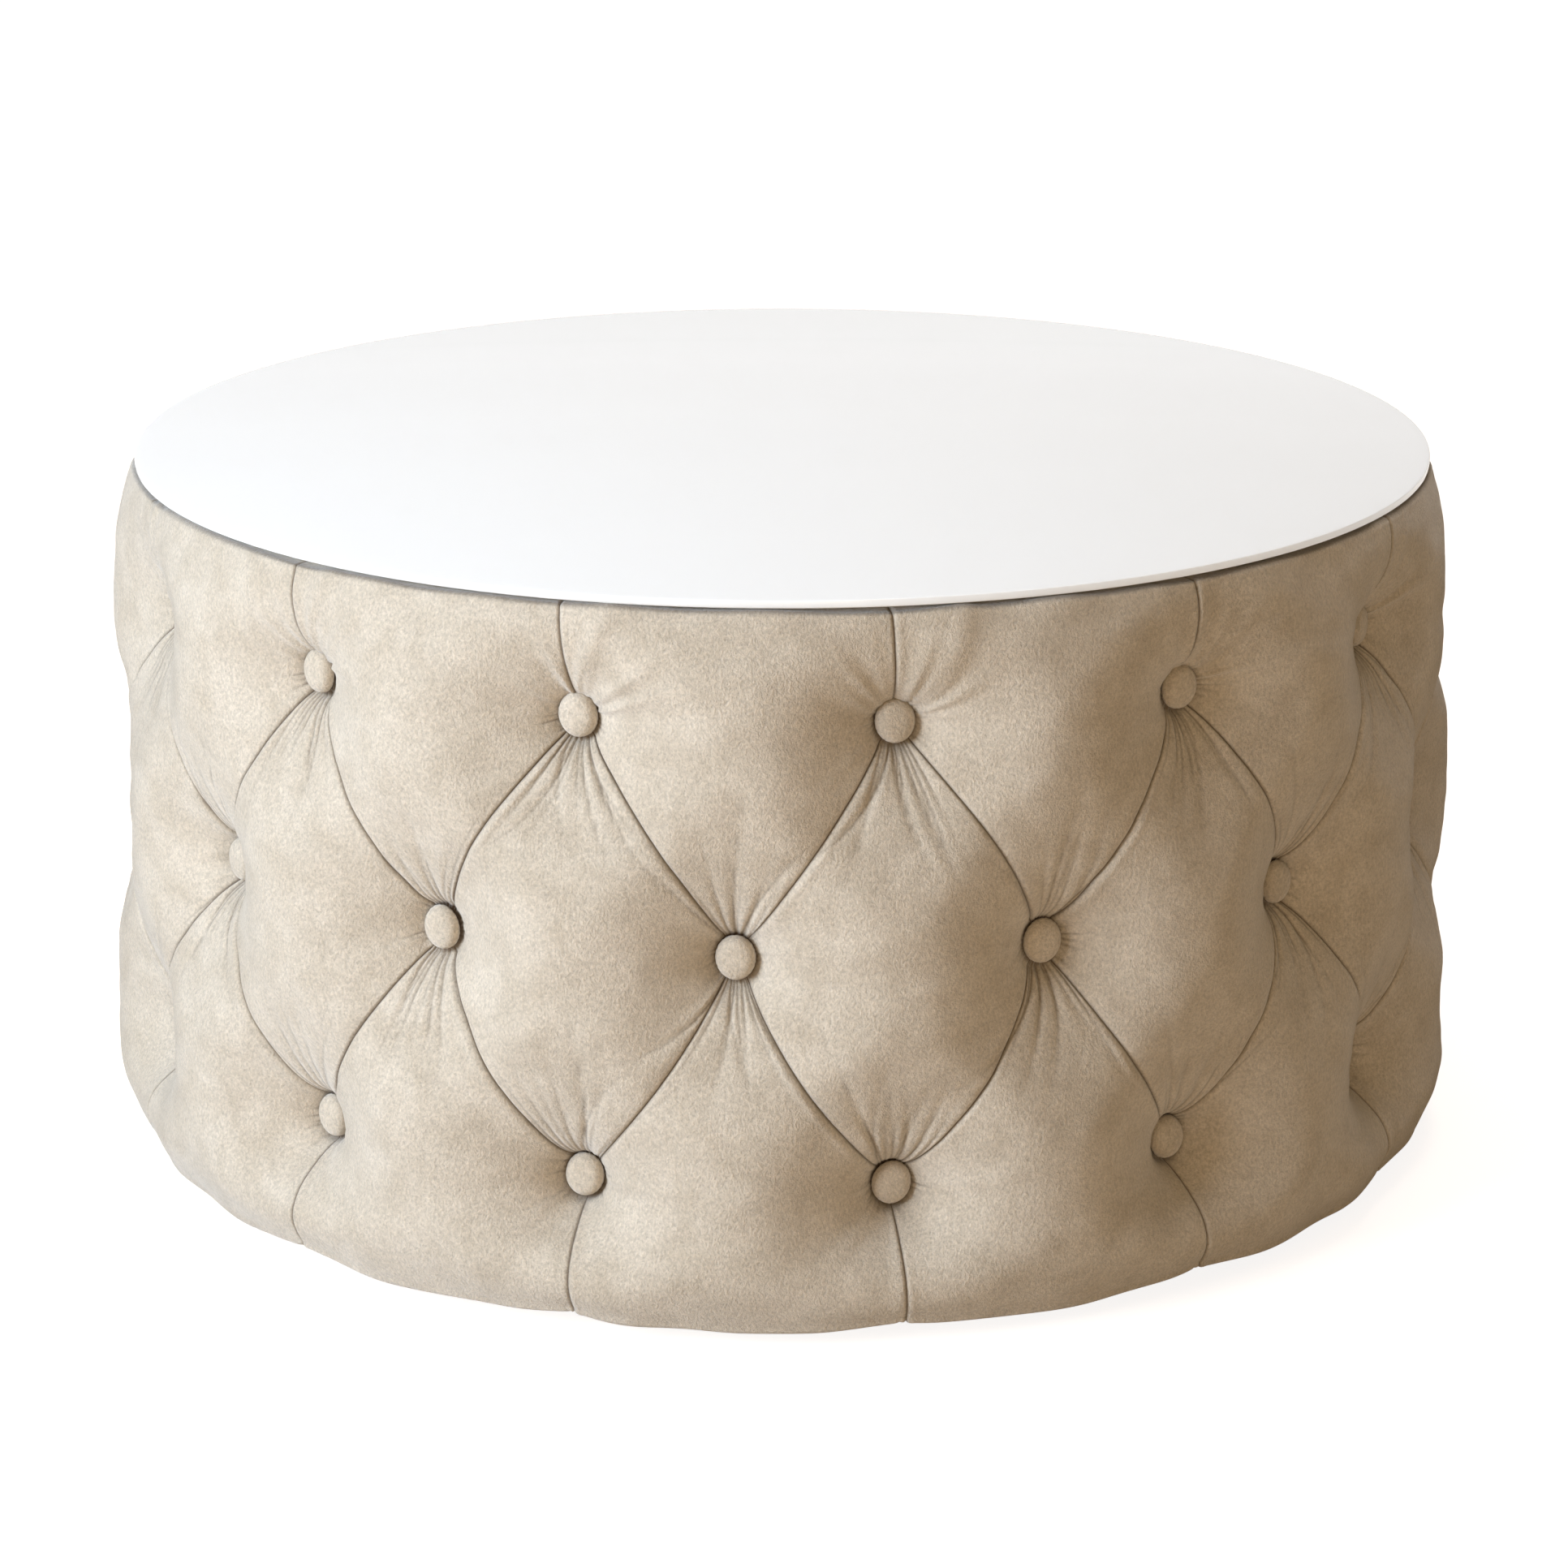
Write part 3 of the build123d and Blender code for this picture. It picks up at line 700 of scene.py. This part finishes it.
button_row("upper_button_caps", "upper_buttons", upper_row, 0)
button_row("middle_button_caps", "middle_buttons", middle_row, pitch / 2)
button_row("lower_button_caps", "lower_buttons", lower_row, 0)

# Button backs and ties: each button's pressed metal core and shank, and the waxed twine that pulls it
# in through the foam and the panel to a plastic toggle behind.
button_metal = mottled(
    "pressed aluminium", (0.6, 0.6, 0.61, 1), (0.78, 0.78, 0.78, 1), 0.004, 0.3, 0.45, 1.0
)
twine = mottled(
    "waxed twine", (0.6, 0.54, 0.42, 1), (0.82, 0.77, 0.64, 1), 0.0008, 0.5, 0.7, relief=0.0002
)
toggle_plastic = mottled(
    "moulded toggle plastic", (0.68, 0.68, 0.66, 1), (0.8, 0.8, 0.78, 1), 0.004, 0.35, 0.5
)
finish_node("button_cores", button_metal)
finish_node("button_shanks", button_metal)
finish_node("button_twines", twine)
finish_node("twine_toggles", toggle_plastic)

# Felt: a round of pressed grey felt on the top board, which fills the mouth of the turned-in velvet and
# lies level with it.


def felt_material():
    """Matt grey felt, a little blotchy, with a fibrous relief."""
    material, tree, shader = new_material("pressed felt")
    shader.inputs["Sheen Weight"].default_value = 0.3
    fibres = add(tree, "ShaderNodeGroup", {}, node_tree=brushed_pile)
    fibres.inputs["Patch size"].default_value = 0.012
    fibres.inputs["Grain size"].default_value = 0.001
    dark_grey, light_grey = (0.36, 0.35, 0.33, 1), (0.52, 0.51, 0.49, 1)
    colour = blend_colours(tree, fibres.outputs["Patches"], dark_grey, light_grey)
    rough = spread(tree, fibres.outputs["Grain"], 0, 1, 0.85, 1)
    connect(tree, shader, colour, rough, fibres.outputs["Grain"], 0.0005)
    return material


finish_node("top_felt", felt_material())

# Lining and dust cover: a round of thin woven lining over the felt, and one of black non-woven cloth
# under the base with a hole for each foot. Both lap the turned-in velvet and are stapled through it.
lining_low, lining_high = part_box("top_lining")
cover_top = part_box("dust_cover")[1][2]
cloth_radius = lining_high[0]
cloth_thickness = lining_high[2] - lining_low[2]
foot_circle = 0.3035
foot_hole_radius = 0.0203
foot_angles = [first_column + foot * pi / 3 for foot in range(6)]
foot_places = [(foot_circle * cos(angle), foot_circle * sin(angle)) for angle in foot_angles]


def round_of_cloth(name, holes, level, sag):
    """A disc of cloth with round holes. It sags in its middle and dips a little between its staples."""
    points, edges = [], []
    rim_steps, hole_steps = 252, 40
    rims = [(0, 0, cloth_radius, rim_steps)]
    rims += [(x, y, foot_hole_radius, hole_steps) for x, y in holes]
    for x, y, radius, count in rims:
        start = len(points)
        for step in range(count):
            angle = 2 * pi * step / count
            points.append((x + radius * cos(angle), y + radius * sin(angle)))
            edges.append((start + step, start + (step + 1) % count))
    spacing, margin = 0.0075, 0.004
    reach = int(cloth_radius / spacing) + 2
    for row in range(-reach, reach + 1):
        for column in range(-reach, reach + 1):
            x, y = (column + row % 2 / 2) * spacing, row * spacing * 0.87
            clear = all(sqrt((x - a) ** 2 + (y - b) ** 2) > foot_hole_radius + margin for a, b in holes)
            if sqrt(x * x + y * y) < cloth_radius - margin and clear:
                points.append((x, y))
    flat, _, faces, *_ = delaunay_2d_cdt([Vector(point) for point in points], edges, [], 1, 0.000001)
    spots = np.array(flat)
    centres = np.array([spots[list(face)].mean(axis=0) for face in faces])
    open_hole = np.zeros(len(faces), bool)
    for x, y in holes:
        open_hole |= np.hypot(centres[:, 0] - x, centres[:, 1] - y) < foot_hole_radius * 0.99
    kept = [list(face) for face, gone in zip(faces, open_hole) if not gone]
    hanging_radius, stapled_radius, staple_count = 0.33, 0.345, 42
    out = np.hypot(spots[:, 0], spots[:, 1])
    hang = np.clip(1 - (out / hanging_radius) ** 2, 0, 1)
    around = np.arctan2(spots[:, 1], spots[:, 0])
    stapled = np.exp(-(((out - stapled_radius) / 0.006) ** 2))
    dips = 0.00015 * (1 - np.cos(staple_count * around)) * stapled
    rng = np.random.default_rng(len(holes) + 40)
    waves = np.zeros(len(spots))
    for _ in range(10):
        across, turn, start = rng.uniform(9, 28), rng.uniform(0, pi), rng.uniform(0, 2 * pi)
        waves += np.sin(across * (spots[:, 0] * cos(turn) + spots[:, 1] * sin(turn)) * 2 + start) / 10
    height = level - dips - sag * hang - 0.25 * sag * hang * waves
    mesh = bpy.data.meshes.new(name)
    mesh.from_pydata(np.column_stack([spots, height]).tolist(), [], kept)
    cloth = bpy.data.objects.new(name, mesh)
    bpy.context.collection.objects.link(cloth)
    solid = bmesh.new()
    solid.from_mesh(mesh)
    bmesh.ops.recalc_face_normals(solid, faces=solid.faces)
    if sum(face.normal.z for face in solid.faces) < 0:
        bmesh.ops.reverse_faces(solid, faces=solid.faces)
    solid.to_mesh(mesh)
    solid.free()
    bpy.ops.object.select_all(action="DESELECT")
    cloth.select_set(True)
    bpy.context.view_layer.objects.active = cloth
    thickness = cloth.modifiers.new("thickness", "SOLIDIFY")
    thickness.thickness = cloth_thickness
    thickness.offset = -1
    bpy.ops.object.modifier_apply(modifier="thickness")
    bpy.ops.object.shade_smooth_by_angle(angle=radians(40))
    return cloth


def woven_material():
    """Plain weave: two sets of threads at right angles, each with its own slight unevenness."""
    material, tree, shader = new_material("woven lining")
    place = add(tree, "ShaderNodeTexCoord").outputs["Object"]
    threads = []
    for direction in ("X", "Y"):
        inputs = {"Vector": place, "Scale": 520, "Distortion": 0.6, "Detail": 1, "Detail Scale": 3}
        threads.append(add(tree, "ShaderNodeTexWave", inputs, bands_direction=direction).outputs["Fac"])
    weave = calculate(tree, "MULTIPLY", threads[0], threads[1])
    spots = add(tree, "ShaderNodeGroup", {}, node_tree=mottle)
    spots.inputs["Size"].default_value = 0.02
    base = blend_colours(tree, spots.outputs["Mask"], (0.68, 0.65, 0.58, 1), (0.77, 0.745, 0.69, 1))
    colour = blend_colours(tree, spread(tree, weave, 0, 1, 0.5, 0), base, (0.45, 0.42, 0.36, 1))
    connect(tree, shader, colour, spread(tree, weave, 0, 1, 0.95, 0.8), weave, 0.0002)
    return material


lining = round_of_cloth("round_lining", [], lining_high[2], 0)
lining.data.materials.append(woven_material())
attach(lining, "base")
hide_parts("top_lining")

black, faded_black = (0.012, 0.012, 0.012, 1), (0.04, 0.04, 0.04, 1)
non_woven = mottled("black non-woven cloth", black, faded_black, 0.0012, 0.85, 1, relief=0.0004)
dust_cloth = round_of_cloth("round_dust_cover", foot_places, cover_top, 0.0035)
dust_cloth.data.materials.append(non_woven)
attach(dust_cloth, "base")
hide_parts("dust_cover")
finish_node("staples", zinc)

# Pads and film: eight clear soft pads on the lining, which the glass lies on, and the opaque white film
# bonded to the underside of the glass.
clear_rubber = mottled(
    "clear soft rubber", (0.74, 0.74, 0.72, 1), (0.86, 0.86, 0.84, 1), 0.006, 0.2, 0.4
)
clear_rubber.node_tree.nodes["Principled BSDF"].inputs["Transmission Weight"].default_value = 0.5
white_film = mottled(
    "white film", (0.87, 0.87, 0.86, 1), (0.91, 0.91, 0.905, 1), 0.03, 0.4, 0.5, relief=0.00003
)
finish_node("glass_pads", clear_rubber)
finish_node("white_backing", white_film)

# Glass top: a round of tempered glass, 4 mm thick, which looks white all through from the film behind
# it. Its edge is ground flat and polished with a fine arris above and below, and has a faint painted
# glow that stands in for the light that enters the glass and leaves at its edge. It lies loose on the
# pads.
glass_low, glass_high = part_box("glass_top")
glass_radius = (glass_high[0] - glass_low[0]) / 2
glass_thickness = glass_high[2] - glass_low[2]
arris = 0.0005


def model_glass():
    """A flat round whose upper and lower edges are bevelled to a fine arris."""
    bpy.ops.object.select_all(action="DESELECT")
    middle = (0, 0, (glass_low[2] + glass_high[2]) / 2)
    bpy.ops.mesh.primitive_cylinder_add(
        vertices=360, radius=glass_radius, depth=glass_thickness, end_fill_type="NGON", location=middle
    )
    glass = bpy.context.object
    glass.name = "glass_round"
    glass.data.name = "glass_round"
    bpy.ops.object.transform_apply()
    bpy.ops.object.mode_set(mode="EDIT")
    bpy.ops.mesh.select_all(action="DESELECT")
    shape = bmesh.from_edit_mesh(glass.data)
    for edge in shape.edges:
        edge.select = abs(edge.verts[0].co.z - edge.verts[1].co.z) < 0.0001
    bmesh.update_edit_mesh(glass.data)
    bpy.ops.mesh.bevel(offset=arris, segments=3, affect="EDGES")
    bpy.ops.object.mode_set(mode="OBJECT")
    bpy.ops.object.shade_smooth_by_angle(angle=radians(35))
    return glass


def glass_material():
    """Glossy white, a little greyer below the upper arris, where a faint painted glow stands in for the
    light that the glass carries to its edge."""
    material, tree, shader = new_material("white-backed glass")
    shader.inputs["Roughness"].default_value = 0.5
    shader.inputs["Specular IOR Level"].default_value = 0.3
    shader.inputs["Subsurface Weight"].default_value = 0.6
    shader.inputs["Subsurface Radius"].default_value = (1, 1, 1)
    shader.inputs["Subsurface Scale"].default_value = 0.008
    shader.inputs["Coat Weight"].default_value = 1
    shader.inputs["Coat Roughness"].default_value = 0.03
    place = add(tree, "ShaderNodeTexCoord").outputs["Object"]
    inputs = {"Vector": place, "Scale": 7, "Detail": 2}
    film = add(tree, "ShaderNodeTexNoise", inputs).outputs["Fac"]
    face = blend_colours(tree, film, (0.925, 0.925, 0.925, 1), (0.94, 0.94, 0.94, 1))
    height = add(tree, "ShaderNodeSeparateXYZ", {"Vector": place}).outputs["Z"]
    edge = spread(tree, height, glass_high[2] - arris, glass_high[2] - 0.0001, 1, 0)
    colour = blend_colours(tree, edge, face, (0.72, 0.72, 0.72, 1))
    # A faint painted glow on the edge below the arris, standing in for light the glass carries there.
    painted_edge_glow = blend_colours(tree, edge, (0, 0, 0, 1), (0.2, 0.2, 0.2, 1))
    tree.links.new(colour, shader.inputs["Base Color"])
    tree.links.new(painted_edge_glow, shader.inputs["Emission Color"])
    shader.inputs["Emission Strength"].default_value = 1
    return material


glass_round = model_glass()
glass_round.data.materials.append(glass_material())
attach(glass_round, "glass")
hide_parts("glass_top")

# Floor, lights and camera: a white studio with one large cool lamp on the left, one above and a weak
# warm one in front. The warm light all round is dimmer on the right. The camera stands in front, a
# little above the glass, and the floor can be looked through from below.
camera_distance = 2.3
camera_height = 0.9348
camera_pitch = radians(15.712)
camera_lens = 89.92
camera_shift = (0.0012, -0.1)

camera_data = bpy.data.cameras.new("camera")
camera_data.sensor_width = 36
camera_data.lens = camera_lens
camera_data.shift_x, camera_data.shift_y = camera_shift
camera_data.clip_start = 0.05
camera = bpy.data.objects.new("camera", camera_data)
camera.location = (0, -camera_distance, camera_height)
camera.rotation_euler = (pi / 2 - camera_pitch, 0, 0)
bpy.context.collection.objects.link(camera)
bpy.context.scene.camera = camera


def soft_lamp(name, place, target, size, watts, colour):
    """A round area lamp that points at its target."""
    lamp = bpy.data.lights.new(name, "AREA")
    lamp.shape = "DISK"
    lamp.size = size
    lamp.energy = watts
    lamp.color = colour
    holder = bpy.data.objects.new(name, lamp)
    holder.location = place
    holder.rotation_euler = (Vector(target) - Vector(place)).to_track_quat("-Z", "Y").to_euler()
    bpy.context.collection.objects.link(holder)


soft_lamp("key_lamp", (-2.1, -1.53, 1.1), (0, 0, 0.2), 1.6, 91, (0.72, 0.85, 1))
soft_lamp("top_lamp", (0.25, 0.5, 2.6), (0, 0, 0.4), 1.6, 30, (0.98, 0.98, 1))
soft_lamp("fill_lamp", (0.2, -2.5, 0.6), (0, 0, 0.2), 1.2, 9.8, (1, 0.755, 0.47))


def background_rays(tree, path):
    """1 for rays that see the background: from the camera, off a glossy face or through a clear one."""
    seen = calculate(tree, "MAXIMUM", path.outputs["Is Camera Ray"], path.outputs["Is Glossy Ray"])
    return calculate(tree, "MAXIMUM", seen, path.outputs["Is Transmission Ray"])


def studio_world():
    """Warm light all round, dimmer on the right. Whatever sees it as the background sees plain white."""
    world = bpy.data.worlds.new("studio")
    world.use_nodes = True
    tree = world.node_tree
    light = tree.nodes["Background"]
    light.inputs["Color"].default_value = (1, 0.757, 0.455, 1)
    direction = add(tree, "ShaderNodeTexCoord").outputs["Generated"]
    sideways = add(tree, "ShaderNodeSeparateXYZ", {"Vector": direction}).outputs["X"]
    tree.links.new(spread(tree, sideways, 0.2, 0.9, 0.212, 0.11), light.inputs["Strength"])
    white = add(tree, "ShaderNodeBackground", {"Color": (1, 1, 1, 1)})
    seen = background_rays(tree, add(tree, "ShaderNodeLightPath"))
    inputs = {0: seen, 1: light.outputs["Background"], 2: white.outputs["Background"]}
    either = add(tree, "ShaderNodeMixShader", inputs)
    tree.links.new(either.outputs["Shader"], tree.nodes["World Output"].inputs["Surface"])
    bpy.context.scene.world = world


def studio_floor():
    """A wide pale floor that keeps the shadow. It glows white as the background, more so further out,
    and a camera below it looks through it."""
    bpy.ops.object.select_all(action="DESELECT")
    bpy.ops.mesh.primitive_plane_add(size=30, location=(0, 0, 0))
    floor = bpy.context.object
    floor.name = "studio_floor"
    material, tree, shader = new_material("studio floor")
    shader.inputs["Base Color"].default_value = (0.56, 0.47, 0.38, 1)
    shader.inputs["Roughness"].default_value = 0.9
    shader.inputs["Specular IOR Level"].default_value = 0
    shader.inputs["Emission Color"].default_value = (1, 1, 1, 1)
    path = add(tree, "ShaderNodeLightPath")
    place = add(tree, "ShaderNodeTexCoord").outputs["Object"]
    out = add(tree, "ShaderNodeVectorMath", {0: place}, operation="LENGTH").outputs["Value"]
    brighter = spread(tree, out, 1.2, 3.5, 0.86, 0.97)
    glow = calculate(tree, "MULTIPLY", background_rays(tree, path), brighter)
    tree.links.new(glow, shader.inputs["Emission Strength"])
    behind = add(tree, "ShaderNodeNewGeometry").outputs["Backfacing"]
    from_below = calculate(tree, "MULTIPLY", behind, path.outputs["Is Camera Ray"])
    see_through = add(tree, "ShaderNodeBsdfTransparent")
    inputs = {0: from_below, 1: shader.outputs["BSDF"], 2: see_through.outputs["BSDF"]}
    either = add(tree, "ShaderNodeMixShader", inputs)
    tree.links.new(either.outputs["Shader"], tree.nodes["Material Output"].inputs["Surface"])
    floor.data.materials.append(material)


studio_world()
studio_floor()
bpy.context.scene.view_settings.view_transform = "Standard"
